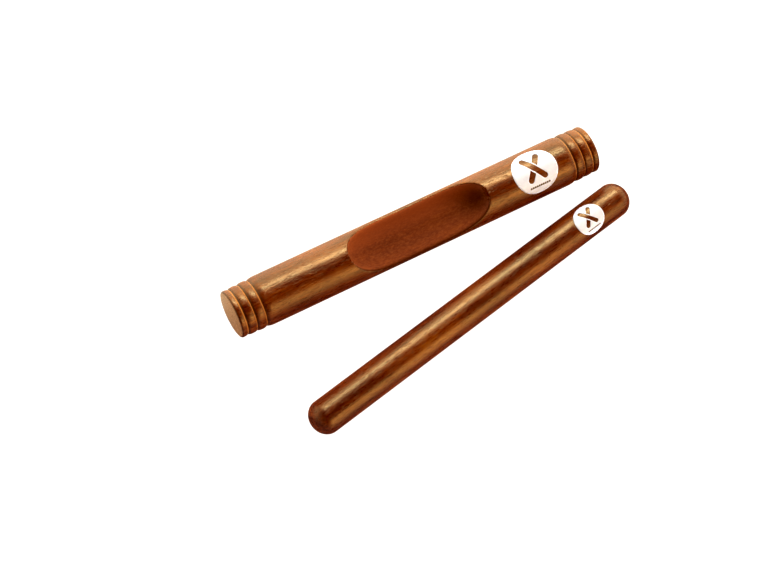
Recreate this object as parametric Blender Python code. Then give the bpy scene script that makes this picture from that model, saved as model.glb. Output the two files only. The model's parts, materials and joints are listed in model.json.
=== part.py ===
"""A pair of claves, lying side by side: a hollow clave and its striker, each with a round label on top.

Units are metres and +Z is up. The hollow clave runs along X. Both sticks rest on the floor at Z = 0,
and the origin is on the floor under the middle of the pair.
"""

import math

import bmesh
import bpy
from mathutils import Vector

# The hollow clave, a turned stick with grooves near each end.
CLAVE_LENGTH = 0.2525
CLAVE_DIAMETER = 0.03175
END_ROUND = 0.0013
RING_COUNT = 3
RING_WIDTH = 0.0062
RING_INSET = 0.0003
RING_STEP_DOWN = 0.0002
GROOVE_DEPTH = 0.0013
SHOULDER_LENGTH = 0.009

# The hollow scooped into it from above, and the flatter cut that eases its lip. The rim is where the
# lip runs out into the round of the stick, and its height is taken halfway along the hollow.
# Heights are from the floor that the stick lies on.
HOLLOW_LENGTH = 0.1015
HOLLOW_FLOOR_HEIGHT = 0.0132
RIM_HEIGHT = 0.0188
LIP_WIDTH = 0.0028
LIP_RISE = 0.0018
LIP_SAG = 0.0021

# The striker, a plain stick with rounded ends, and where it lies beside the hollow clave.
STRIKER_LENGTH = 0.2525
STRIKER_DIAMETER = 0.0222
STRIKER_DOME_LENGTH = 0.0098
STRIKER_AHEAD = 0.0135
STRIKER_ASIDE = 0.0578
STRIKER_TURN = math.radians(10.6)

# The labels. Each is centred on the top of its stick, at a distance from the stick's front end.
CLAVE_LABEL_DIAMETER = 0.0305
CLAVE_LABEL_FROM_END = 0.0437
STRIKER_LABEL_DIAMETER = 0.0208
STRIKER_LABEL_FROM_END = 0.0342
LABEL_THICKNESS = 0.0002
LABEL_GAP = 0.0003

# How finely the curves are faceted.
STICK_SIDES = 48
RING_STEPS = 6
END_STEPS = 3
SHOULDER_STEPS = 6
DOME_STEPS = 9
CUTTER_SIDES = 64
CUTTER_STEPS = 36
LABEL_SIDES = 36
LABEL_RINGS = 5
SMOOTH_ANGLE = math.radians(35)

CLAVE_RADIUS = CLAVE_DIAMETER / 2
STRIKER_RADIUS = STRIKER_DIAMETER / 2


def clear_scene():
    for old in list(bpy.data.objects):
        bpy.data.objects.remove(old, do_unlink=True)


def material(name, colour, roughness):
    made = bpy.data.materials.new(name)
    made.use_nodes = True
    shader = made.node_tree.nodes["Principled BSDF"]
    shader.inputs["Base Color"].default_value = (*colour, 1.0)
    shader.inputs["Roughness"].default_value = roughness
    shader.inputs["Metallic"].default_value = 0.0
    return made


def add_object(name, bm, parent=None):
    mesh = bpy.data.meshes.new(name)
    bm.to_mesh(mesh)
    bm.free()
    mesh.shade_smooth()
    mesh.set_sharp_from_angle(angle=SMOOTH_ANGLE)
    made = bpy.data.objects.new(name, mesh)
    bpy.context.collection.objects.link(made)
    made.parent = parent
    return made


def add_place(name):
    """An empty on the floor line of a stick: moving it moves the stick and its label."""
    place = bpy.data.objects.new(name, None)
    bpy.context.collection.objects.link(place)
    return place


def join_rings(bm, rings):
    """Skins a row of equal rings of vertices and closes both ends."""
    for ring, following in zip(rings, rings[1:]):
        for i in range(len(ring)):
            j = (i + 1) % len(ring)
            bm.faces.new((ring[i], ring[j], following[j], following[i]))
    bm.faces.new(reversed(rings[0]))
    bm.faces.new(rings[-1])
    bmesh.ops.recalc_face_normals(bm, faces=bm.faces)


def turned(profile, sides):
    """The solid that a lathe makes of a profile of (x, radius) points, about the X axis."""
    bm = bmesh.new()
    rings = []
    for x, radius in profile:
        angles = [math.tau * i / sides for i in range(sides)]
        rings.append([bm.verts.new((x, radius * math.cos(a), radius * math.sin(a))) for a in angles])
    join_rings(bm, rings)
    return bm


def mirrored(half):
    """A whole profile from the half that runs from the back end to the middle."""
    return half + [(-x, radius) for x, radius in reversed(half)]


def clave_profile():
    """Half of the hollow clave's outline: flat end, rounded rim, beaded rings, then the shoulder.

    The rings step down a little towards the end. Each ring swells between the bottoms of two grooves.
    """
    end = -CLAVE_LENGTH / 2
    points = []
    for ring in range(RING_COUNT):
        step_down = RING_STEP_DOWN * (RING_COUNT - 1 - ring)
        crown = CLAVE_RADIUS - RING_INSET - step_down
        middle = end + END_ROUND + RING_WIDTH * ring
        if ring == 0:
            for step in range(END_STEPS + 1):
                a = math.pi / 2 * step / END_STEPS
                points.append((middle - END_ROUND * math.cos(a), crown - END_ROUND * (1 - math.sin(a))))
        for step in range(1 if ring == 0 else 1 - RING_STEPS // 2, RING_STEPS // 2 + 1):
            across = 2 * step / RING_STEPS
            swell = (GROOVE_DEPTH - RING_INSET) * across**4
            points.append((middle + across * RING_WIDTH / 2, crown - swell))
    groove = points[-1][0]
    for step in range(1, SHOULDER_STEPS + 1):
        along = (step / SHOULDER_STEPS) ** 1.5
        points.append((groove + SHOULDER_LENGTH * along, CLAVE_RADIUS - GROOVE_DEPTH * (1 - along) ** 3.5))
    return mirrored(points)


def striker_profile():
    """The striker's outline: an elliptical dome at each end of a straight stick."""
    shoulder = -STRIKER_LENGTH / 2 + STRIKER_DOME_LENGTH
    points = []
    for step in range(DOME_STEPS + 1):
        a = math.pi / 2 * (0.5 + step) / (DOME_STEPS + 0.5)
        points.append((shoulder - STRIKER_DOME_LENGTH * math.cos(a), STRIKER_RADIUS * math.sin(a)))
    return mirrored(points)


def scoop(name, floor_height, rim_height, length, parent):
    """A cutter: the egg-shaped solid whose cut has the given floor, long rims and nose-to-nose length.

    Its axis is parallel to the stick's and lies above it. In the middle its circle passes through the
    floor of the hollow and through the two points of the stick's surface at the rims' height. At
    each nose it touches the top of the stick.
    """
    floor = floor_height - CLAVE_RADIUS
    rim = rim_height - CLAVE_RADIUS
    axis = (CLAVE_RADIUS**2 - floor**2) / (2 * (rim - floor))
    girth = axis - floor
    reach = length / 2 / math.sqrt(1 - ((axis - CLAVE_RADIUS) / girth) ** 2)
    points = []
    for step in range(CUTTER_STEPS):
        a = math.pi * (0.5 + step) / CUTTER_STEPS
        points.append((-reach * math.cos(a), girth * math.sin(a)))
    cutter = add_object(name, turned(points, CUTTER_SIDES), parent)
    cutter.location.z = CLAVE_RADIUS + axis
    cutter.hide_render = True
    cutter.display_type = "WIRE"
    return cutter


def cut(body, cutter):
    boolean = body.modifiers.new(cutter.name, "BOOLEAN")
    boolean.operation = "DIFFERENCE"
    boolean.solver = "EXACT"
    boolean.object = cutter


def label(name, diameter, from_end, stick_length, stick_radius, parent):
    """A thin disc wrapped over the top of a stick, with a small gap under it."""
    bm = bmesh.new()
    middle = stick_length / 2 - from_end
    inner = stick_radius + LABEL_GAP
    outer = inner + LABEL_THICKNESS
    sides = [math.tau * i / LABEL_SIDES for i in range(LABEL_SIDES)]

    def ring(share, height):
        made = []
        for a in sides:
            along = diameter / 2 * share * math.cos(a)
            turn = diameter / 2 * share * math.sin(a) / stick_radius
            made.append(bm.verts.new((middle + along, -height * math.sin(turn), height * math.cos(turn))))
        return made

    shares = [step / LABEL_RINGS for step in range(1, LABEL_RINGS + 1)]
    lower = [ring(share, inner) for share in shares]
    upper = [ring(share, outer) for share in shares]
    join_rings(bm, lower + upper[::-1])
    made = add_object(name, bm, parent)
    made.location.z = stick_radius
    return made


def lay_on_origin(places, pieces):
    """Shifts the pair so that the middle of its box stands over the origin."""
    bpy.context.view_layer.update()
    corners = [piece.matrix_world @ vert.co for piece in pieces for vert in piece.data.vertices]
    for axis in (0, 1):
        low = min(corner[axis] for corner in corners)
        high = max(corner[axis] for corner in corners)
        for place in places:
            place.location[axis] -= (low + high) / 2


def build_hollow_clave():
    place = add_place("hollow_clave_place")
    stick = add_object("hollow_clave", turned(clave_profile(), STICK_SIDES), place)
    stick.location.z = CLAVE_RADIUS
    stick.data.materials.append(material("red_brown_hardwood", (0.23, 0.075, 0.022), 0.32))
    inner_length = HOLLOW_LENGTH - 2 * LIP_WIDTH
    hollow = scoop("hollow_cutter", HOLLOW_FLOOR_HEIGHT, RIM_HEIGHT + LIP_RISE, inner_length, place)
    lip = scoop("lip_cutter", RIM_HEIGHT - LIP_SAG, RIM_HEIGHT, HOLLOW_LENGTH, place)
    cut(stick, hollow)
    cut(stick, lip)
    badge = label(
        "clave_label", CLAVE_LABEL_DIAMETER, CLAVE_LABEL_FROM_END, CLAVE_LENGTH, CLAVE_RADIUS, place
    )
    badge.data.materials.append(material("white_paper", (0.86, 0.84, 0.88), 0.45))
    return place, [stick, badge]


def build_striker():
    place = add_place("striker_place")
    place.location = Vector((STRIKER_AHEAD, -STRIKER_ASIDE, 0.0))
    place.rotation_euler.z = STRIKER_TURN
    stick = add_object("striker", turned(striker_profile(), STICK_SIDES), place)
    stick.location.z = STRIKER_RADIUS
    stick.data.materials.append(material("brown_hardwood", (0.20, 0.062, 0.018), 0.3))
    badge = label(
        "striker_label", STRIKER_LABEL_DIAMETER, STRIKER_LABEL_FROM_END, STRIKER_LENGTH, STRIKER_RADIUS, place
    )
    badge.data.materials.append(material("small_white_paper", (0.86, 0.84, 0.88), 0.45))
    return place, [stick, badge]


def main():
    clear_scene()
    clave_place, clave_pieces = build_hollow_clave()
    striker_place, striker_pieces = build_striker()
    lay_on_origin([clave_place, striker_place], clave_pieces + striker_pieces)


main()
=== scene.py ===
"""The looks of a pair of claves: two turned and varnished hardwood sticks, one grooved and hollowed.

Units are metres and +Z is up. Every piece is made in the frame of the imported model, which gives the
place and the size of each stick. A stick's own frame has X along it, Y across it and its axis at Z = 0.
Near is -Y and far is +Y.
"""

import json
import math

import bmesh
import bpy
import numpy as np
from mathutils import Matrix, Vector
from mathutils.geometry import delaunay_2d_cdt

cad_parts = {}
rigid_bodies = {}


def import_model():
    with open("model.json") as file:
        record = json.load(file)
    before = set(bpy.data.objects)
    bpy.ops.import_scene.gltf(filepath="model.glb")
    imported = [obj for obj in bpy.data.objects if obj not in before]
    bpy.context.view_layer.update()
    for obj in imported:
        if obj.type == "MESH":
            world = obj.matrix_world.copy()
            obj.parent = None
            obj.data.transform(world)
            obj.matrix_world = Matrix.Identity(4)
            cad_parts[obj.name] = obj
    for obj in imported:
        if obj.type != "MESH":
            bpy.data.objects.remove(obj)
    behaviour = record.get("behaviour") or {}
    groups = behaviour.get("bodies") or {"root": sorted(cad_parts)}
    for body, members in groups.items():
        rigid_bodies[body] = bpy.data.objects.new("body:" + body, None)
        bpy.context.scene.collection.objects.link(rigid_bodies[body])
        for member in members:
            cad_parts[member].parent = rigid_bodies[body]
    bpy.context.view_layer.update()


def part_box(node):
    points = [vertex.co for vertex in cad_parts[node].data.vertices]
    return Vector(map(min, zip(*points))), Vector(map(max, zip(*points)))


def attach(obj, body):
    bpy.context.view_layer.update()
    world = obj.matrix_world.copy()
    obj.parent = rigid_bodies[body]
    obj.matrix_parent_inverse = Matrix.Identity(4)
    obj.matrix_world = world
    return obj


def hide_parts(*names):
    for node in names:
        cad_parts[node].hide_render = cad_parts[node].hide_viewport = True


# The turned ends of the hollow clave: its flat face, its beaded rings and the shoulder behind them. A
# bead's side steepens towards the groove by its power, and the shoulder eases into the stick by its own.
END_ROUND = 0.0013
RING_COUNT = 3
RING_WIDTH = 0.0062
RING_INSET = 0.0003
RING_STEP_DOWN = 0.0002
GROOVE_DEPTH = 0.0013
BEAD_SIDE_POWER = 7.0
SHOULDER_LENGTH = 0.0068
SHOULDER_POWER = 3.6

# The hollow scooped into it, with heights from the floor that the stick lies on. The blunter its noses,
# the longer it stays wide before it closes.
SCOOP_LENGTH = 0.0965
SCOOP_FLOOR_HEIGHT = 0.0132
SCOOP_RIM_HEIGHT = 0.0217
NOSE_BLUNTNESS = 3.2

# How far the hollow's edge is rounded over: most halfway along, and least at its two noses.
RIM_ROUND_MIDDLE = 0.0050
RIM_ROUND_NOSE = 0.0022

# The waist: near its middle the hollow is narrower on its far side, where the cut's circle shrinks, and
# wider on its near side, where the circle grows by a share of that.
WAIST_SHRINK = 0.0022
WAIST_NEAR_SHARE = 0.5
WAIST_AHEAD = 0.006
WAIST_LENGTH = 0.026

# Where the painted light and shade and the end grain are looked for, from each end and from the middle.
RING_ZONE = 0.019
FLAT_END_ZONE = 0.0002
HOLLOW_ZONE = 0.06

STRIKER_DOME_LENGTH = 0.0098

# The labels. The cut-out and the row of dots are in shares of a label's diameter.
CLAVE_LABEL_DIAMETER = 0.0303
STRIKER_LABEL_DIAMETER = 0.0207
PAPER_THICKNESS = 0.00016
PAPER_LIFT = 0.00006
INK_THICKNESS = 0.00003
BAR_HALF_LENGTH = 0.275
BAR_HALF_WIDTH = 0.062
BAR_TILT = math.radians(36)
BAR_CLEARANCE = 0.028
BARS_ASIDE = 0.06
DOT_COUNT = 10
DOT_SPACING = 0.048
DOT_RADIUS = 0.022
DOTS_ASIDE = -0.33

# How finely the pieces are divided. A middle share is the share of a stick's stations that lies
# between its two end zones.
CLAVE_COLUMNS = 200
CLAVE_STATIONS = 480
CLAVE_END_ZONE = 0.0285
CLAVE_MIDDLE_SHARE = 0.6
STRIKER_COLUMNS = 128
STRIKER_STATIONS = 300
STRIKER_END_ZONE = 0.014
STRIKER_MIDDLE_SHARE = 0.5
HALVINGS = 36
LABEL_RIM_POINTS = 120
LABEL_POINTS_ACROSS = 34
BAR_END_STEPS = 14
DOT_SIDES = 24
CREASE_ANGLE = math.radians(50)
PAPER_CREASE_ANGLE = math.radians(40)

# The colours of the wood and of its marks, some of which paint light and shade.
WOOD_TONES = [
    (0.0, (0.030, 0.0020, 0.0001)),
    (0.35, (0.082, 0.0095, 0.0004)),
    (0.62, (0.152, 0.0290, 0.0010)),
    (1.0, (0.260, 0.0850, 0.0060)),
]
PORE = (0.035, 0.004, 0.0005)
# Painted shade on the steep walls that face back, away from the light.
PAINTED_BACK_SHADE = (0.030, 0.004, 0.0006)
# Painted shade along the near edge of the hollow.
PAINTED_NEAR_EDGE_SHADE = (0.035, 0.005, 0.0006)
# Painted light on the groove walls that face ahead, towards the light.
PAINTED_GROOVE_LIGHT = (0.60, 0.25, 0.045)
# The end grain of the flat ends, lightened by a painted sheen.
END_GRAIN_AND_SHEEN = (0.240, 0.125, 0.057)
BARE_WOOD = (0.165, 0.0510, 0.0270)
BARE_FLECK = (0.29, 0.10, 0.04)
# Painted light on the far wall of the hollow.
PAINTED_FAR_WALL_LIGHT = (0.48, 0.155, 0.075)
PAPER_TONES = [(0.3, (0.64, 0.68, 0.94)), (0.7, (0.71, 0.75, 1.0))]
INK_TONES = [(0.3, (0.035, 0.016, 0.012)), (0.75, (0.10, 0.055, 0.045))]

# The studio: its warm walls from the horizon to the zenith, its floor, its lights, its camera and its
# exposure. A light has an azimuth, an elevation, a distance, a size, a power and a colour.
WHITE = (1, 1, 1)
WALL_TONES = [(0.0, (1.0, 0.93, 0.66)), (0.6, (0.70, 0.63, 0.42)), (0.78, (0.05, 0.045, 0.04))]
FLOOR_GLOW = (1.0, 0.94, 0.68)
FLOOR_HALF_WIDTH = 4.0
SOFTBOXES = {
    "far_softbox": (67, 43, 1.6, (1.1, 0.38), 23, (1.0, 0.94, 0.74)),
    "near_softbox": (-68, 36, 1.8, (1.1, 0.75), 15, (1.0, 0.67, 0.30)),
    "low_fill": (-75, 13, 1.6, (1.4, 0.35), 5, (1.0, 0.62, 0.28)),
}
CAMERA_BACK = Vector((-0.2702, -0.0666, 0.9605))
CAMERA_DISTANCE = 1.3426
CAMERA_ROLL = math.radians(50.3)
CAMERA_LENS = 102.63
CAMERA_TARGET_BEHIND = 0.0288
CAMERA_TARGET_ASIDE = 0.01885
VIEW_GAMMA = 0.78
VIEW_BLACK_LEVEL = (0.0, 0.012, 0.010)


for leftover in list(bpy.data.objects):
    bpy.data.objects.remove(leftover, do_unlink=True)
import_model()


class Stick:
    """Where a stick lies and how big it is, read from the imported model."""

    def __init__(self, body, node, label_node, dome_length):
        low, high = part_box(node)
        label_low, label_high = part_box(label_node)
        self.body = body
        self.node = node
        self.label_node = label_node
        self.centre = (low + high) / 2
        self.radius = (high.z - low.z) / 2
        ahead = (label_low + label_high) / 2 - self.centre
        self.turn = math.atan2(ahead.y, ahead.x)
        self.label_ahead = math.hypot(ahead.x, ahead.y)
        cosine = math.cos(self.turn)
        sine = math.sin(self.turn)
        nose = math.hypot(dome_length * cosine, self.radius * sine)
        self.length = 2 * (((high.x - low.x) / 2 - nose) / cosine + dome_length)

    def place(self):
        """The matrix from the stick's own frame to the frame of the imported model."""
        return Matrix.Translation(self.centre) @ Matrix.Rotation(self.turn, 4, "Z")


clave = Stick("hollow_clave", "hollow_clave", "clave_label", 0.0)
striker = Stick("striker", "striker", "striker_label", STRIKER_DOME_LENGTH)


# Node trees


class Field:
    """A number in a node tree, on which Python's own signs of arithmetic work."""

    def __init__(self, tree, socket):
        self.tree = tree
        self.socket = socket

    def math(self, operation, *others):
        made = self.tree.nodes.new("ShaderNodeMath")
        made.operation = operation
        for socket, value in zip(made.inputs, (self, *others)):
            plug(self.tree, socket, value)
        return Field(self.tree, made.outputs[0])

    def __add__(self, other):
        return self.math("ADD", other)

    def __sub__(self, other):
        return self.math("SUBTRACT", other)

    def __mul__(self, other):
        return self.math("MULTIPLY", other)

    def __truediv__(self, other):
        return self.math("DIVIDE", other)

    def __pow__(self, other):
        return self.math("POWER", other)

    def __neg__(self):
        return self.math("MULTIPLY", -1.0)

    def __abs__(self):
        return self.math("ABSOLUTE")

    def at_least(self, other):
        return self.math("MAXIMUM", other)

    def at_most(self, other):
        return self.math("MINIMUM", other)

    def below(self, other):
        return self.math("LESS_THAN", other)

    def clipped(self):
        return self.at_least(0.0).at_most(1.0)


def plug(tree, socket, value):
    """Links a field or a socket to a socket, or sets a plain value on it."""
    if isinstance(value, Field):
        value = value.socket
    if isinstance(value, bpy.types.NodeSocket):
        tree.links.new(value, socket)
    else:
        socket.default_value = value


def add_node(tree, kind, sockets=None, **settings):
    made = tree.nodes.new(kind)
    for name, value in settings.items():
        setattr(made, name, value)
    for name, value in (sockets or {}).items():
        plug(tree, made.inputs[name], value)
    return made


def geometry_tree(name, inputs):
    """An empty geometry tree with named inputs, its input sockets by name, and its output node."""
    tree = bpy.data.node_groups.new(name, "GeometryNodeTree")
    tree.interface.new_socket("Geometry", in_out="OUTPUT", socket_type="NodeSocketGeometry")
    for title, kind in inputs.items():
        tree.interface.new_socket(title, in_out="INPUT", socket_type="NodeSocket" + kind)
    given = tree.nodes.new("NodeGroupInput")
    fields = {title: Field(tree, given.outputs[title]) for title in inputs}
    return tree, fields, tree.nodes.new("NodeGroupOutput")


def end_tree(tree, out, geometry, material):
    """Closes a tree: its instances are made real and take the material."""
    real = add_node(tree, "GeometryNodeRealizeInstances", {"Geometry": geometry})
    dressed = add_node(
        tree, "GeometryNodeSetMaterial", {"Geometry": real.outputs[0], "Material": material}
    )
    plug(tree, out.inputs[0], dressed.outputs[0])


def grow(name, tree, values):
    """Runs a geometry tree with the given input values and keeps the result as a plain mesh object."""
    seed = bpy.data.objects.new(name + "_seed", bpy.data.meshes.new(name + "_seed"))
    bpy.context.collection.objects.link(seed)
    modifier = seed.modifiers.new("shape", "NODES")
    modifier.node_group = tree
    for item in tree.interface.items_tree:
        if item.in_out == "INPUT" and item.name in values:
            modifier[item.identifier] = values[item.name]
    bpy.context.view_layer.update()
    evaluated = seed.evaluated_get(bpy.context.evaluated_depsgraph_get())
    mesh = bpy.data.meshes.new_from_object(evaluated)
    mesh.name = name
    bpy.data.objects.remove(seed, do_unlink=True)
    made = bpy.data.objects.new(name, mesh)
    bpy.context.collection.objects.link(made)
    return made


# The turned sticks


def stations(tree, length, end_zone, middle_share, count):
    """A row of points along X from end to end, closer together in the zone at each end.

    middle_share is the share of the points that lies between the two end zones. The second result is
    each point's distance from the nearer end.
    """
    line = add_node(tree, "GeometryNodeCurvePrimitiveLine")
    row = add_node(tree, "GeometryNodeResampleCurve", {"Curve": line.outputs[0], "Count": count})
    parameter = add_node(tree, "GeometryNodeSplineParameter")
    side = Field(tree, parameter.outputs["Factor"]) * 2.0 - 1.0
    out = abs(side)
    middle_half = length / 2.0 - end_zone
    reached = (out / middle_share).at_most(1.0) * middle_half
    beyond = (out - middle_share).at_least(0.0) / (1.0 - middle_share) * end_zone
    along = side.math("SIGN") * (reached + beyond)
    spot = add_node(tree, "ShaderNodeCombineXYZ", {"X": along})
    placed = add_node(
        tree, "GeometryNodeSetPosition", {"Geometry": row.outputs[0], "Position": spot.outputs[0]}
    )
    here = add_node(tree, "GeometryNodeInputPosition")
    parts = add_node(tree, "ShaderNodeSeparateXYZ", {"Vector": here.outputs[0]})
    return placed.outputs[0], length / 2.0 - abs(Field(tree, parts.outputs["X"]))


def lathe(tree, row, radius, columns):
    """Turns a row of points on the X axis into a closed stick with that radius at each point."""
    sized = add_node(tree, "GeometryNodeSetCurveRadius", {"Curve": row, "Radius": radius})
    circle = add_node(tree, "GeometryNodeCurvePrimitiveCircle", {"Resolution": columns, "Radius": 1.0})
    skin = add_node(
        tree,
        "GeometryNodeCurveToMesh",
        {"Curve": sized.outputs[0], "Profile Curve": circle.outputs[0], "Fill Caps": True},
    )
    own_radius = add_node(tree, "GeometryNodeInputRadius")
    plug(tree, skin.inputs["Scale"], own_radius.outputs[0])
    return skin.outputs[0]


def grooved_stick_tree():
    """The hollow clave before its hollow: a flat end, beaded rings that step down, and a shoulder."""
    tree, given, out = geometry_tree(
        "grooved_stick",
        {
            "Length": "Float",
            "Radius": "Float",
            "End Round": "Float",
            "Ring Count": "Float",
            "Ring Width": "Float",
            "Ring Inset": "Float",
            "Ring Step Down": "Float",
            "Groove Depth": "Float",
            "Shoulder Length": "Float",
            "End Zone": "Float",
            "Columns": "Int",
            "Stations": "Int",
            "Wood": "Material",
        },
    )
    row, from_end = stations(
        tree, given["Length"], given["End Zone"], CLAVE_MIDDLE_SHARE, given["Stations"]
    )
    in_rings = (from_end - given["End Round"]) / given["Ring Width"]
    ring = in_rings.math("ROUND").at_least(0.0)
    crown = given["Radius"] - given["Ring Inset"]
    crown = crown - given["Ring Step Down"] * (given["Ring Count"] - 1.0 - ring)
    across = (in_rings - ring) * 2.0
    fall = across**2.0 * 0.5 + abs(across) ** BEAD_SIDE_POWER * 0.5
    bead = crown - (given["Groove Depth"] - given["Ring Inset"]) * fall
    short = (from_end / given["End Round"]).clipped()
    corner = (short * (-short + 2.0)).math("SQRT")
    rounded = crown - given["End Round"] * (-corner + 1.0)
    is_corner = from_end.below(given["End Round"])
    ringed = rounded * is_corner + bead * (-is_corner + 1.0)
    groove = given["End Round"] + given["Ring Width"] * (given["Ring Count"] - 0.5)
    along = ((from_end - groove) / given["Shoulder Length"]).clipped()
    shoulder = given["Radius"] - given["Groove Depth"] * (-along + 1.0) ** SHOULDER_POWER
    is_ringed = from_end.below(groove)
    radius = ringed * is_ringed + shoulder * (-is_ringed + 1.0)
    end_tree(tree, out, lathe(tree, row, radius, given["Columns"]), given["Wood"])
    return tree


def domed_stick_tree():
    """The striker: a straight stick with an elliptical dome on each end."""
    tree, given, out = geometry_tree(
        "domed_stick",
        {
            "Length": "Float",
            "Radius": "Float",
            "Dome Length": "Float",
            "End Zone": "Float",
            "Columns": "Int",
            "Stations": "Int",
            "Wood": "Material",
        },
    )
    row, from_end = stations(
        tree, given["Length"], given["End Zone"], STRIKER_MIDDLE_SHARE, given["Stations"]
    )
    short = (from_end / given["Dome Length"]).clipped()
    radius = given["Radius"] * (short * (-short + 2.0)).math("SQRT").at_least(0.01)
    end_tree(tree, out, lathe(tree, row, radius, given["Columns"]), given["Wood"])
    return tree


# The hollow


def mesh_points(mesh):
    """The places of a mesh's vertices, one row of x, y and z for each."""
    points = np.empty(len(mesh.vertices) * 3)
    mesh.vertices.foreach_get("co", points)
    return points.reshape(-1, 3)


def keep_marks(mesh, marks):
    """Keeps each named mark, a number for every vertex, as an attribute of the mesh."""
    for name, values in marks.items():
        attribute = mesh.attributes.new(name, "FLOAT", "POINT")
        attribute.data.foreach_set("value", values)


def use_second_material(mesh, chosen):
    """Gives a mesh's second material to the faces whose vertices are all chosen."""
    corner_verts = np.empty(len(mesh.loops), dtype=np.int32)
    mesh.loops.foreach_get("vertex_index", corner_verts)
    starts = np.empty(len(mesh.polygons), dtype=np.int32)
    mesh.polygons.foreach_get("loop_start", starts)
    whole = np.logical_and.reduceat(chosen[corner_verts], starts)
    mesh.polygons.foreach_set("material_index", whole.astype(np.int32))
    mesh.update()


def cutter(floor_height, rim_height, length, radius):
    """The egg-shaped solid that cuts a hollow: its axis height, greatest girth and half length."""
    floor = floor_height - radius
    rim = rim_height - radius
    axis = (radius**2 - floor**2) / (2 * (rim - floor))
    girth = axis - floor
    reach = length / 2 / (1 - ((axis - radius) / girth) ** 2) ** (1 / NOSE_BLUNTNESS)
    return axis, girth, reach


def hollow_sections(x, on_far_side, radius):
    """At each x, the circle that cuts the hollow and how far its edge is rounded over.

    The circle is given as the height of its middle and its radius.
    """
    axis, girth, reach = cutter(SCOOP_FLOOR_HEIGHT, SCOOP_RIM_HEIGHT, SCOOP_LENGTH, radius)
    shrink = WAIST_SHRINK * np.where(on_far_side, 1, -WAIST_NEAR_SHARE)
    waist = shrink * np.exp(-(((x - WAIST_AHEAD) / WAIST_LENGTH) ** 2))
    local_girth = girth * np.sqrt(np.maximum(1 - np.abs(x / reach) ** NOSE_BLUNTNESS, 0.0)) - waist
    from_nose = np.clip(1 - (x / reach) ** 2, 0, 1)
    rim_round = RIM_ROUND_NOSE + (RIM_ROUND_MIDDLE - RIM_ROUND_NOSE) * from_nose
    return axis - waist, local_girth, rim_round


def gathered(angle, rim):
    """Angles round the stick, moved so that most columns of points lie in the hollow and on its edge.

    The columns up to the first share lie inside the hollow, and those up to the second on its edge,
    which reaches from 16 degrees inside the rim to 12 degrees outside it.
    """
    hollow_share = 0.30
    edge_share = 0.62
    edge_outside = np.maximum(rim, math.radians(14)) + math.radians(12)
    edge_inside = np.maximum(rim - math.radians(16), math.radians(7))
    share = np.abs(angle) / math.pi
    across_edge = (share - hollow_share) / (edge_share - hollow_share)
    past_edge = (share - edge_share) / (1 - edge_share)
    spread = np.where(
        share < hollow_share,
        edge_inside * share / hollow_share,
        np.where(
            share < edge_share,
            edge_inside + (edge_outside - edge_inside) * across_edge,
            edge_outside + (math.pi - edge_outside) * past_edge,
        ),
    )
    return np.copysign(spread, angle)


def soft_least(a, b, width):
    """The lesser of two distances, rounded over where they are within a width of each other."""
    near = np.maximum(width - np.abs(a - b), 0.0) / width
    return np.minimum(a, b) - near**2 * width / 4


def hollow_out(stick_object, radius, bare_wood):
    """Digs the hollow: each point of the turned surface slides towards a line low in the stick.

    It stops where the wood begins, found by halving the way again and again. The floor and walls of
    the hollow take the bare wood, which reaches further over the rounded edge on the near side. Two
    marks are kept: "edge", painted shade along the near edge, and the far wall's painted light.
    """
    mesh = stick_object.data
    points = mesh_points(mesh)
    x = points[:, 0]
    outer = np.hypot(points[:, 1], points[:, 2])
    angle = np.arctan2(points[:, 1], points[:, 2])
    axis, girth, rim_round = hollow_sections(x, angle > 0, radius)
    rim_height = (radius**2 + axis**2 - girth**2) / (2 * axis)
    angle = gathered(angle, np.arccos(np.clip(rim_height / radius, -1.0, 1.0)))
    y = outer * np.sin(angle)
    low_line = -0.9 * radius
    rise = outer * np.cos(angle) - low_line

    def depths(fraction):
        """How deep a point lies under the skin, and how far past the cut, at a fraction of its way."""
        at_y = y * fraction
        at_z = low_line + rise * fraction
        return outer - np.hypot(at_y, at_z), np.hypot(at_y, at_z - axis) - girth

    inside = np.zeros_like(x)
    outside = np.ones_like(x)
    for _ in range(HALVINGS):
        middle = (inside + outside) / 2
        solid = soft_least(*depths(middle), rim_round) > 0
        inside = np.where(solid, middle, inside)
        outside = np.where(solid, outside, middle)
    near_hollow = (np.abs(x) < SCOOP_LENGTH / 2 + RIM_ROUND_MIDDLE) & (np.abs(angle) < math.radians(110))
    fraction = np.where(near_hollow, inside, 1.0)
    points[:, 1] = y * fraction
    points[:, 2] = low_line + rise * fraction
    mesh.vertices.foreach_set("co", points.ravel())

    under_skin, past_cut = depths(fraction)
    over_edge = (under_skin - past_cut) / rim_round
    bare_from = np.interp(y, (-0.006, 0.006), (-0.4, 0.0))
    scooped = near_hollow & (over_edge > bare_from)
    on_edge = np.exp(-(((over_edge + 0.25) / 0.55) ** 2))
    # The marks paint shade along the near edge and light on the far wall of the hollow.
    keep_marks(
        mesh,
        {
            "edge": near_hollow * on_edge * np.clip(0.5 - y / 0.01, 0, 1),
            "far_wall_light": scooped * np.clip(points[:, 1] / radius, 0, 1),
        },
    )
    mesh.materials.append(bare_wood)
    use_second_material(mesh, scooped)


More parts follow.
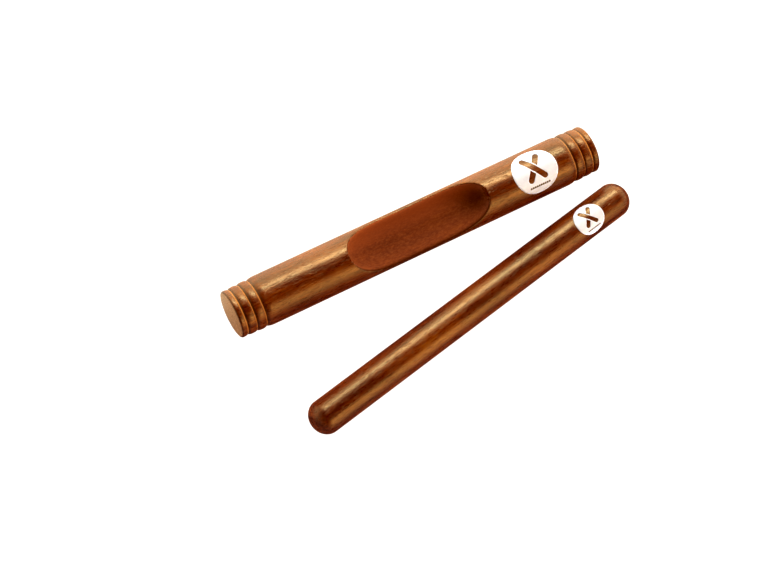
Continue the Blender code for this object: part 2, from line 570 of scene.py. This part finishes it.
def keep_light_shade_and_end_grain(stick_object, radius):
    """Keeps three marks on the turned stick, each from 0 to 1.

    The first is painted light on the groove walls that face ahead, towards the light. The second is
    painted shade on the steep walls that face back, away from it, in the rings and more faintly in the
    front half of the hollow. The third is the two flat ends, their end grain lightened by a painted sheen.
    """
    mesh = stick_object.data
    points = mesh_points(mesh)
    normals = np.empty(len(mesh.vertices) * 3)
    mesh.vertex_normals.foreach_get("vector", normals)
    ahead = normals.reshape(-1, 3)[:, 0]
    sunk = radius - np.hypot(points[:, 1], points[:, 2])
    from_middle = np.abs(points[:, 0])
    half_length = from_middle.max()
    in_rings = from_middle > half_length - RING_ZONE
    flat_end = from_middle > half_length - FLAT_END_ZONE
    behind_corner = from_middle < half_length - 1.5 * END_ROUND
    front_of_hollow = (from_middle < HOLLOW_ZONE) * (points[:, 0] > 0)
    # Painted light: brighter where a groove wall faces ahead, towards the light.
    groove_light = np.clip((ahead - 0.22) / 0.25, 0, 1) * np.clip((sunk - 0.0006) / 0.0004, 0, 1)
    # Painted shade: darker where a wall faces back, away from the light.
    back_shade = np.clip((-ahead - 0.22) / 0.35, 0, 1)
    keep_marks(
        mesh,
        {
            "groove_light": groove_light * in_rings * behind_corner,
            "back_shade": back_shade * (in_rings * ~flat_end + 0.35 * front_of_hollow),
            "end_grain_sheen": flat_end * 1.0,
        },
    )


def finish_piece(piece, stick, crease_angle):
    """Puts a piece that was made in its stick's frame where the stick lies, and smooths its shading."""
    piece.data.transform(stick.place())
    piece.data.shade_smooth()
    piece.data.set_sharp_from_angle(angle=crease_angle)


# Finishes


def new_material(name):
    made = bpy.data.materials.new(name)
    made.use_nodes = True
    tree = made.node_tree
    return made, tree, tree.nodes["Principled BSDF"]


def grain_frame(tree, stick):
    """Coordinates in metres with X along the stick and the stick's middle at zero."""
    spot = add_node(tree, "ShaderNodeTexCoord")
    turned = add_node(
        tree,
        "ShaderNodeMapping",
        {"Vector": spot.outputs["Object"], "Location": stick.centre, "Rotation": (0, 0, stick.turn)},
        vector_type="TEXTURE",
    )
    return turned.outputs[0]


def stretched_noise(tree, vector, along, across, detail, roughness=0.5, offset=0.0):
    """Noise whose marks are long with the grain: along and across are marks per metre."""
    drawn_out = add_node(
        tree,
        "ShaderNodeMapping",
        {"Vector": vector, "Scale": (along, across, across), "Location": (offset, offset, offset)},
    )
    noise = add_node(
        tree,
        "ShaderNodeTexNoise",
        {"Vector": drawn_out.outputs[0], "Scale": 1.0, "Detail": detail, "Roughness": roughness},
    )
    return Field(tree, noise.outputs[0])


def ramp(tree, value, stops, name):
    """A colour ramp through (place, colour) stops."""
    made = add_node(tree, "ShaderNodeValToRGB", {"Fac": value}, label=name)
    elements = made.color_ramp.elements
    for element, (place, colour) in zip(elements, (stops[0], stops[-1])):
        element.position = place
        element.color = (*colour, 1)
    for place, colour in stops[1:-1]:
        elements.new(place).color = (*colour, 1)
    return made.outputs["Color"]


def mix_colours(tree, share, first, second):
    """The first colour, a socket or a plain colour, with a share of the second mixed in."""
    made = add_node(tree, "ShaderNodeMix", data_type="RGBA")
    sockets = {socket.identifier: socket for socket in (*made.inputs, *made.outputs)}
    plug(tree, sockets["Factor_Float"], share)
    for name, colour in (("A_Color", first), ("B_Color", second)):
        plug(tree, sockets[name], (*colour, 1) if isinstance(colour, tuple) else colour)
    return sockets["Result_Color"]


def hardwood(name, stick, pith, finish, marks=(), offset=0.0):
    """Red-brown hardwood: growth layers, ribbon streaks and fine pores, varnished or left bare.

    The layers lie round the tree's pith, given as its distances from the stick's middle along Y and Z
    and how fast it moves away along those. A mark is an attribute's name, a share and a colour.
    """
    made, tree, shader = new_material(name)
    grain = grain_frame(tree, stick)
    parts = add_node(tree, "ShaderNodeSeparateXYZ", {"Vector": grain})
    along = Field(tree, parts.outputs["X"])
    across = Field(tree, parts.outputs["Y"])
    up = Field(tree, parts.outputs["Z"])

    wander = stretched_noise(tree, grain, 7.0, 45.0, 2.0, offset=offset)
    from_pith_y = across + pith[0] + along * pith[2]
    from_pith_z = up + pith[1] + along * pith[3]
    pith_distance = (from_pith_y**2.0 + from_pith_z**2.0).math("SQRT") + wander * 0.004
    layers = add_node(
        tree,
        "ShaderNodeTexNoise",
        {"W": pith_distance * 420.0, "Scale": 1.0, "Detail": 2.0, "Roughness": 0.55},
        noise_dimensions="1D",
    )
    layer = Field(tree, layers.outputs[0])
    ribbon = stretched_noise(tree, grain, 26.0, 240.0, 2.0, offset=offset + 3.0)
    streak = stretched_noise(tree, grain, 110.0, 1000.0, 3.0, 0.65, offset + 7.0)
    fibre = stretched_noise(tree, grain, 330.0, 1500.0, 3.0, 0.65, offset + 11.0)
    cloud = stretched_noise(tree, grain, 22.0, 60.0, 2.0, offset=offset + 17.0)

    figure = layer * 0.12 + ribbon * 0.26 + streak * 0.34 + cloud * 0.28
    tone = ((figure - 0.5) * 2.6 + 0.5).clipped()
    colour = ramp(tree, tone, WOOD_TONES, "wood tones")
    pore = ((fibre - 0.56) * 7.0).clipped()
    colour = mix_colours(tree, pore * 0.5, colour, PORE)

    height = streak * 0.5 + fibre * 0.6 - pore * 0.5
    if finish == "bare":
        shader.inputs["Sheen Weight"].default_value = 0.12
        shader.inputs["Sheen Roughness"].default_value = 0.5
        shader.inputs["Sheen Tint"].default_value = (1.0, 0.55, 0.25, 1)
        roughness = streak * 0.1 + 0.66
        speckle = stretched_noise(tree, grain, 500.0, 1000.0, 3.0, 0.7, offset + 23.0)
        colour = mix_colours(tree, 0.6, colour, BARE_WOOD)
        colour = mix_colours(tree, ((speckle - 0.42) * 3.0).clipped() * 0.6, colour, BARE_FLECK)
    else:
        roughness = streak * 0.08 + fibre * 0.14 + 0.18
    # Each mark mixes in its colour where its attribute says. On the clave these are painted light, painted
    # shade and end grain.
    for mark, share, mark_colour in marks:
        kept = add_node(tree, "ShaderNodeAttribute", attribute_name=mark)
        colour = mix_colours(tree, Field(tree, kept.outputs["Fac"]) * share, colour, mark_colour)
    plug(tree, shader.inputs["Base Color"], colour)
    plug(tree, shader.inputs["Roughness"], roughness)
    bump = add_node(tree, "ShaderNodeBump", {"Height": height, "Strength": 0.8, "Distance": 0.0002})
    plug(tree, shader.inputs["Normal"], bump.outputs[0])
    shader.inputs["Specular IOR Level"].default_value = 0.1 if finish == "bare" else 0.9
    shader.inputs["Specular Tint"].default_value = (1.0, 0.86, 0.58, 1)
    return made


def label_paper(name, stick):
    """White paper with a faint cool cast, a fine tooth and slight mottling, under a thin gloss."""
    made, tree, shader = new_material(name)
    grain = grain_frame(tree, stick)
    mottle = stretched_noise(tree, grain, 350.0, 350.0, 3.0)
    tooth = stretched_noise(tree, grain, 4200.0, 4200.0, 2.0, offset=5.0)
    colour = ramp(tree, mottle, PAPER_TONES, "paper tones")
    plug(tree, shader.inputs["Base Color"], colour)
    plug(tree, shader.inputs["Roughness"], mottle * 0.1 + 0.32)
    bump = add_node(tree, "ShaderNodeBump", {"Height": tooth, "Strength": 0.2, "Distance": 0.00003})
    plug(tree, shader.inputs["Normal"], bump.outputs[0])
    return made


def printing_ink(name, stick):
    """Dark brown ink, a little thinner in places."""
    made, tree, shader = new_material(name)
    patch = stretched_noise(tree, grain_frame(tree, stick), 2400.0, 2400.0, 2.0)
    colour = ramp(tree, patch, INK_TONES, "ink tones")
    plug(tree, shader.inputs["Base Color"], colour)
    plug(tree, shader.inputs["Roughness"], patch * 0.2 + 0.35)
    return made


# The labels


def capsule(half_length, half_width, tilt):
    """The outline of a round-ended bar about the origin, tilted from the Y axis, anticlockwise."""
    outline = []
    for end in (1, -1):
        for step in range(BAR_END_STEPS + 1):
            a = math.pi * step / BAR_END_STEPS + (0 if end == 1 else math.pi)
            outline.append((half_width * math.cos(a), end * half_length + half_width * math.sin(a)))
    cosine = math.cos(tilt)
    sine = math.sin(tilt)
    return [(px * cosine - py * sine, px * sine + py * cosine) for px, py in outline]


def trimmed(outline, normal, distance):
    """The part of a convex outline where the way along the normal is at least the distance."""
    kept = []
    for start, end in zip(outline, outline[1:] + outline[:1]):
        a = start[0] * normal[0] + start[1] * normal[1] - distance
        b = end[0] * normal[0] + end[1] * normal[1] - distance
        if a >= 0:
            kept.append(start)
        if (a >= 0) != (b >= 0):
            t = a / (a - b)
            kept.append((start[0] + (end[0] - start[0]) * t, start[1] + (end[1] - start[1]) * t))
    return kept


def crossed_bars(diameter):
    """The cut-out of a label: two crossed sticks, one passing under the other, as convex outlines."""
    half_length = BAR_HALF_LENGTH * diameter
    half_width = BAR_HALF_WIDTH * diameter
    over = capsule(half_length, half_width, BAR_TILT)
    under = capsule(half_length, half_width, -BAR_TILT)
    normal = (math.cos(BAR_TILT), math.sin(BAR_TILT))
    back = (-normal[0], -normal[1])
    clear = half_width + BAR_CLEARANCE * diameter
    outlines = [over, trimmed(under, normal, clear), trimmed(under, back, clear)]
    aside = BARS_ASIDE * diameter
    return [[(px, py + aside) for px, py in outline] for outline in outlines]


def in_convex(point, outline):
    """Whether a point lies inside a convex outline that runs anticlockwise."""
    for a, b in zip(outline, outline[1:] + outline[:1]):
        if (b[0] - a[0]) * (point[1] - a[1]) - (b[1] - a[1]) * (point[0] - a[0]) < 0:
            return False
    return True


def label_layout(diameter, holes):
    """The points and edges from which a label's faces are made, flat about the origin.

    Its rim and its holes are loops of edges, and between them lies a grid of loose points, so that the
    paper can follow the round of the stick.
    """
    rim = []
    for step in range(LABEL_RIM_POINTS):
        a = math.tau * step / LABEL_RIM_POINTS
        rim.append((diameter / 2 * math.cos(a), diameter / 2 * math.sin(a)))
    points = []
    edges = []
    for loop in (rim, *holes):
        first = len(points)
        points.extend(loop)
        edges.extend((first + i, first + (i + 1) % len(loop)) for i in range(len(loop)))
    step = diameter / LABEL_POINTS_ACROSS
    rows = range(-20, 21)
    for row in rows:
        for column in rows:
            spot = ((column + 0.5 * (row % 2)) * step, row * step * 0.866)
            if math.hypot(*spot) < diameter / 2 - 0.6 * step:
                points.append(spot)
    return [Vector(point) for point in points], edges


def make_label(name, stick, diameter, material):
    """A round paper label with its cut-out, wrapped over the top of a stick."""
    holes = crossed_bars(diameter)
    points, edges = label_layout(diameter, holes)
    corners, _, faces, _, _, _ = delaunay_2d_cdt(points, edges, [], 0, 1e-7)
    bm = bmesh.new()
    radius = stick.radius + PAPER_LIFT
    wrapped = []
    for corner in corners:
        turn = corner.y / radius
        spot = (stick.label_ahead + corner.x, radius * math.sin(turn), radius * math.cos(turn))
        wrapped.append(bm.verts.new(spot))
    for face in faces:
        middle = sum((corners[i] for i in face), Vector((0, 0))) / len(face)
        if math.hypot(*middle) < diameter / 2 and not any(in_convex(middle, hole) for hole in holes):
            bm.faces.new([wrapped[i] for i in face])
    loose = [v for v in bm.verts if not v.link_faces]
    bmesh.ops.delete(bm, geom=loose, context="VERTS")
    bmesh.ops.recalc_face_normals(bm, faces=bm.faces)
    if sum(face.normal.z for face in bm.faces) < 0:
        bmesh.ops.reverse_faces(bm, faces=bm.faces)
    mesh = bpy.data.meshes.new(name)
    bm.to_mesh(mesh)
    bm.free()
    made = bpy.data.objects.new(name, mesh)
    bpy.context.collection.objects.link(made)
    mesh.materials.append(material)
    finish_piece(made, stick, PAPER_CREASE_ANGLE)
    thick = made.modifiers.new("paper", "SOLIDIFY")
    thick.thickness = PAPER_THICKNESS
    thick.offset = 1.0
    return made


def dot_row_tree():
    """A row of small round dots printed on a label that is wrapped over a stick."""
    tree, given, out = geometry_tree(
        "dot_row",
        {
            "Count": "Int",
            "Spacing": "Float",
            "Dot Radius": "Float",
            "Ink Thickness": "Float",
            "Row Start": "Float",
            "Row Aside": "Float",
            "Paper Radius": "Float",
            "Ink": "Material",
        },
    )
    spot = add_node(tree, "ShaderNodeCombineXYZ", {"X": given["Row Start"], "Y": given["Row Aside"]})
    stride = add_node(tree, "ShaderNodeCombineXYZ", {"X": given["Spacing"]})
    line = add_node(
        tree,
        "GeometryNodeMeshLine",
        {"Count": given["Count"], "Start Location": spot.outputs[0], "Offset": stride.outputs[0]},
    )
    dot = add_node(
        tree,
        "GeometryNodeMeshCylinder",
        {"Vertices": DOT_SIDES, "Radius": given["Dot Radius"], "Depth": given["Ink Thickness"]},
    )
    copies = add_node(
        tree, "GeometryNodeInstanceOnPoints", {"Points": line.outputs[0], "Instance": dot.outputs["Mesh"]}
    )
    real = add_node(tree, "GeometryNodeRealizeInstances", {"Geometry": copies.outputs[0]})
    flat = add_node(tree, "GeometryNodeInputPosition")
    parts = add_node(tree, "ShaderNodeSeparateXYZ", {"Vector": flat.outputs[0]})
    turn = Field(tree, parts.outputs["Y"]) / given["Paper Radius"]
    radius = given["Paper Radius"] + Field(tree, parts.outputs["Z"]) + given["Ink Thickness"] / 2.0
    wrapped = add_node(
        tree,
        "ShaderNodeCombineXYZ",
        {"X": parts.outputs["X"], "Y": radius * turn.math("SINE"), "Z": radius * turn.math("COSINE")},
    )
    placed = add_node(
        tree, "GeometryNodeSetPosition", {"Geometry": real.outputs[0], "Position": wrapped.outputs[0]}
    )
    end_tree(tree, out, placed.outputs[0], given["Ink"])
    return tree


def make_dots(name, stick, diameter, tree, ink):
    """The row of dots on a stick's label."""
    spacing = DOT_SPACING * diameter
    made = grow(
        name,
        tree,
        {
            "Count": DOT_COUNT,
            "Spacing": spacing,
            "Dot Radius": DOT_RADIUS * diameter,
            "Ink Thickness": INK_THICKNESS,
            "Row Start": stick.label_ahead - spacing * (DOT_COUNT - 1) / 2,
            "Row Aside": DOTS_ASIDE * diameter,
            "Paper Radius": stick.radius + PAPER_LIFT + PAPER_THICKNESS,
            "Ink": ink,
        },
    )
    finish_piece(made, stick, PAPER_CREASE_ANGLE)
    return made


# The pieces


def make_clave():
    """The grooved and hollowed stick."""
    pith = (0.021, 0.034, 0.05, 0.09)
    # The marks: painted shade on walls that face back and along the hollow's near edge, painted light on the
    # groove walls that face ahead and on the hollow's far wall, and end grain with a painted sheen.
    painted_shades = (("back_shade", 0.75, PAINTED_BACK_SHADE), ("edge", 0.7, PAINTED_NEAR_EDGE_SHADE))
    marks = (*painted_shades, ("groove_light", 0.7, PAINTED_GROOVE_LIGHT), ("end_grain_sheen", 0.7, END_GRAIN_AND_SHEEN))
    bare_marks = (*painted_shades, ("far_wall_light", 0.7, PAINTED_FAR_WALL_LIGHT))
    wood = hardwood("clave_varnished_wood", clave, pith, "varnished", marks)
    bare_wood = hardwood("clave_bare_wood", clave, pith, "bare", bare_marks)
    piece = grow(
        "hollow_clave_wood",
        grooved_stick_tree(),
        {
            "Length": clave.length,
            "Radius": clave.radius,
            "End Round": END_ROUND,
            "Ring Count": float(RING_COUNT),
            "Ring Width": RING_WIDTH,
            "Ring Inset": RING_INSET,
            "Ring Step Down": RING_STEP_DOWN,
            "Groove Depth": GROOVE_DEPTH,
            "Shoulder Length": SHOULDER_LENGTH,
            "End Zone": CLAVE_END_ZONE,
            "Columns": CLAVE_COLUMNS,
            "Stations": CLAVE_STATIONS,
            "Wood": wood,
        },
    )
    hollow_out(piece, clave.radius, bare_wood)
    keep_light_shade_and_end_grain(piece, clave.radius)
    finish_piece(piece, clave, CREASE_ANGLE)
    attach(piece, clave.body)
    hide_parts(clave.node)


def make_striker():
    """The plain stick with rounded ends."""
    pith = (-0.012, 0.047, -0.04, 0.06)
    wood = hardwood("striker_varnished_wood", striker, pith, "varnished", offset=31.0)
    piece = grow(
        "striker_wood",
        domed_stick_tree(),
        {
            "Length": striker.length,
            "Radius": striker.radius,
            "Dome Length": STRIKER_DOME_LENGTH,
            "End Zone": STRIKER_END_ZONE,
            "Columns": STRIKER_COLUMNS,
            "Stations": STRIKER_STATIONS,
            "Wood": wood,
        },
    )
    finish_piece(piece, striker, CREASE_ANGLE)
    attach(piece, striker.body)
    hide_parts(striker.node)


def make_labels():
    """On each stick a paper label and its row of dots."""
    dots = dot_row_tree()
    for stick, diameter in ((clave, CLAVE_LABEL_DIAMETER), (striker, STRIKER_LABEL_DIAMETER)):
        owner = stick.label_node
        paper = make_label(owner + "_paper", stick, diameter, label_paper(owner + "_white_paper", stick))
        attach(paper, stick.body)
        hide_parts(stick.label_node)
        ink = printing_ink(owner + "_brown_ink", stick)
        print_row = make_dots(owner + "_dots", stick, diameter, dots, ink)
        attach(print_row, stick.body)


# The studio


def floor_white():
    """A matt white table, lit from beneath as a sweep is, so that shadows on it stay faint.

    In the gloss of the wood its near side shows dark and its far side bright and warm.
    """
    made, tree, shader = new_material("white_floor")
    shader.inputs["Roughness"].default_value = 0.9
    shader.inputs["Specular IOR Level"].default_value = 0.0
    ray = add_node(tree, "ShaderNodeLightPath")
    spot = add_node(tree, "ShaderNodeTexCoord")
    parts = add_node(tree, "ShaderNodeSeparateXYZ", {"Vector": spot.outputs["Object"]})
    seen = Field(tree, ray.outputs["Is Camera Ray"])
    glossy = Field(tree, ray.outputs["Is Glossy Ray"])
    far = ((Field(tree, parts.outputs["Y"]) - 0.02) / 0.10).clipped()
    dim = glossy * (-far + 1.0) * 0.95
    shade = (-dim + 1.0) * 0.92 - seen * 0.77
    tone = add_node(tree, "ShaderNodeCombineColor", {"Red": shade, "Green": shade, "Blue": shade})
    plug(tree, shader.inputs["Base Color"], tone.outputs[0])
    warm = mix_colours(tree, glossy, WHITE, FLOOR_GLOW)
    plug(tree, shader.inputs["Emission Color"], warm)
    glow = (-glossy + 1.0) * 4.4 - seen * 3.35 + glossy * far * 1.7
    plug(tree, shader.inputs["Emission Strength"], glow)
    return made


def make_floor():
    mesh = bpy.data.meshes.new("floor")
    half = FLOOR_HALF_WIDTH
    mesh.from_pydata(
        [(-half, -half, 0), (half, -half, 0), (half, half, 0), (-half, half, 0)], [], [(0, 1, 2, 3)]
    )
    floor = bpy.data.objects.new("floor", mesh)
    bpy.context.collection.objects.link(floor)
    mesh.materials.append(floor_white())


def add_softbox(name, azimuth, elevation, distance, size, power, colour):
    """A soft rectangular light that faces the middle of the pair, azimuth turning from +X to +Y."""
    light = bpy.data.lights.new(name, "AREA")
    light.shape = "RECTANGLE"
    light.size = size[0]
    light.size_y = size[1]
    light.energy = power
    light.color = colour
    lamp = bpy.data.objects.new(name, light)
    bpy.context.collection.objects.link(lamp)
    a = math.radians(azimuth)
    e = math.radians(elevation)
    way = Vector((math.cos(a) * math.cos(e), math.sin(a) * math.cos(e), math.sin(e)))
    lamp.location = way * distance
    lamp.rotation_euler = way.to_track_quat("Z", "Y").to_euler()
    lamp.visible_camera = False


def make_world():
    """Warm soft light from round the horizon, strongest on the far right, and a dark ceiling."""
    world = bpy.data.worlds.new("studio")
    world.use_nodes = True
    tree = world.node_tree
    spot = add_node(tree, "ShaderNodeTexCoord")
    parts = add_node(tree, "ShaderNodeSeparateXYZ", {"Vector": spot.outputs["Generated"]})
    shade = ramp(tree, Field(tree, parts.outputs["Z"]), WALL_TONES, "horizon to zenith")
    lean = Field(tree, parts.outputs["Y"]) * 1.6 + Field(tree, parts.outputs["X"]) * 1.0
    seen = Field(tree, add_node(tree, "ShaderNodeLightPath").outputs["Is Camera Ray"])
    back = tree.nodes["Background"]
    plug(tree, back.inputs["Color"], mix_colours(tree, seen, shade, WHITE))
    strength = (lean + 1.75).at_least(0.3)
    plug(tree, back.inputs["Strength"], strength * (-seen + 1.0) + seen)
    bpy.context.scene.world = world


def make_camera():
    """A long lens high over the pair and a little behind it, rolled so that the sticks rise to the right."""
    target = Vector((clave.centre.x - CAMERA_TARGET_BEHIND, clave.centre.y - CAMERA_TARGET_ASIDE, 0.0))
    back = CAMERA_BACK.normalized()
    data = bpy.data.cameras.new("camera")
    data.sensor_width = 36.0
    data.lens = CAMERA_LENS
    data.clip_start = 0.01
    data.clip_end = 50.0
    camera = bpy.data.objects.new("camera", data)
    bpy.context.collection.objects.link(camera)
    camera.rotation_mode = "QUATERNION"
    camera.location = target + back * CAMERA_DISTANCE
    roll = Matrix.Rotation(CAMERA_ROLL, 3, "Z")
    camera.rotation_quaternion = (back.to_track_quat("Z", "Y").to_matrix() @ roll).to_quaternion()
    bpy.context.scene.camera = camera


def set_exposure():
    """Plain colours, with the middle tones lifted and the blacks kept warm."""
    settings = bpy.context.scene.view_settings
    settings.view_transform = "Standard"
    settings.gamma = VIEW_GAMMA
    settings.use_curve_mapping = True
    settings.curve_mapping.black_level = VIEW_BLACK_LEVEL
    settings.curve_mapping.update()


make_clave()
make_striker()
make_labels()
make_floor()
make_world()
for softbox, settings in SOFTBOXES.items():
    add_softbox(softbox, *settings)
make_camera()
set_exposure()
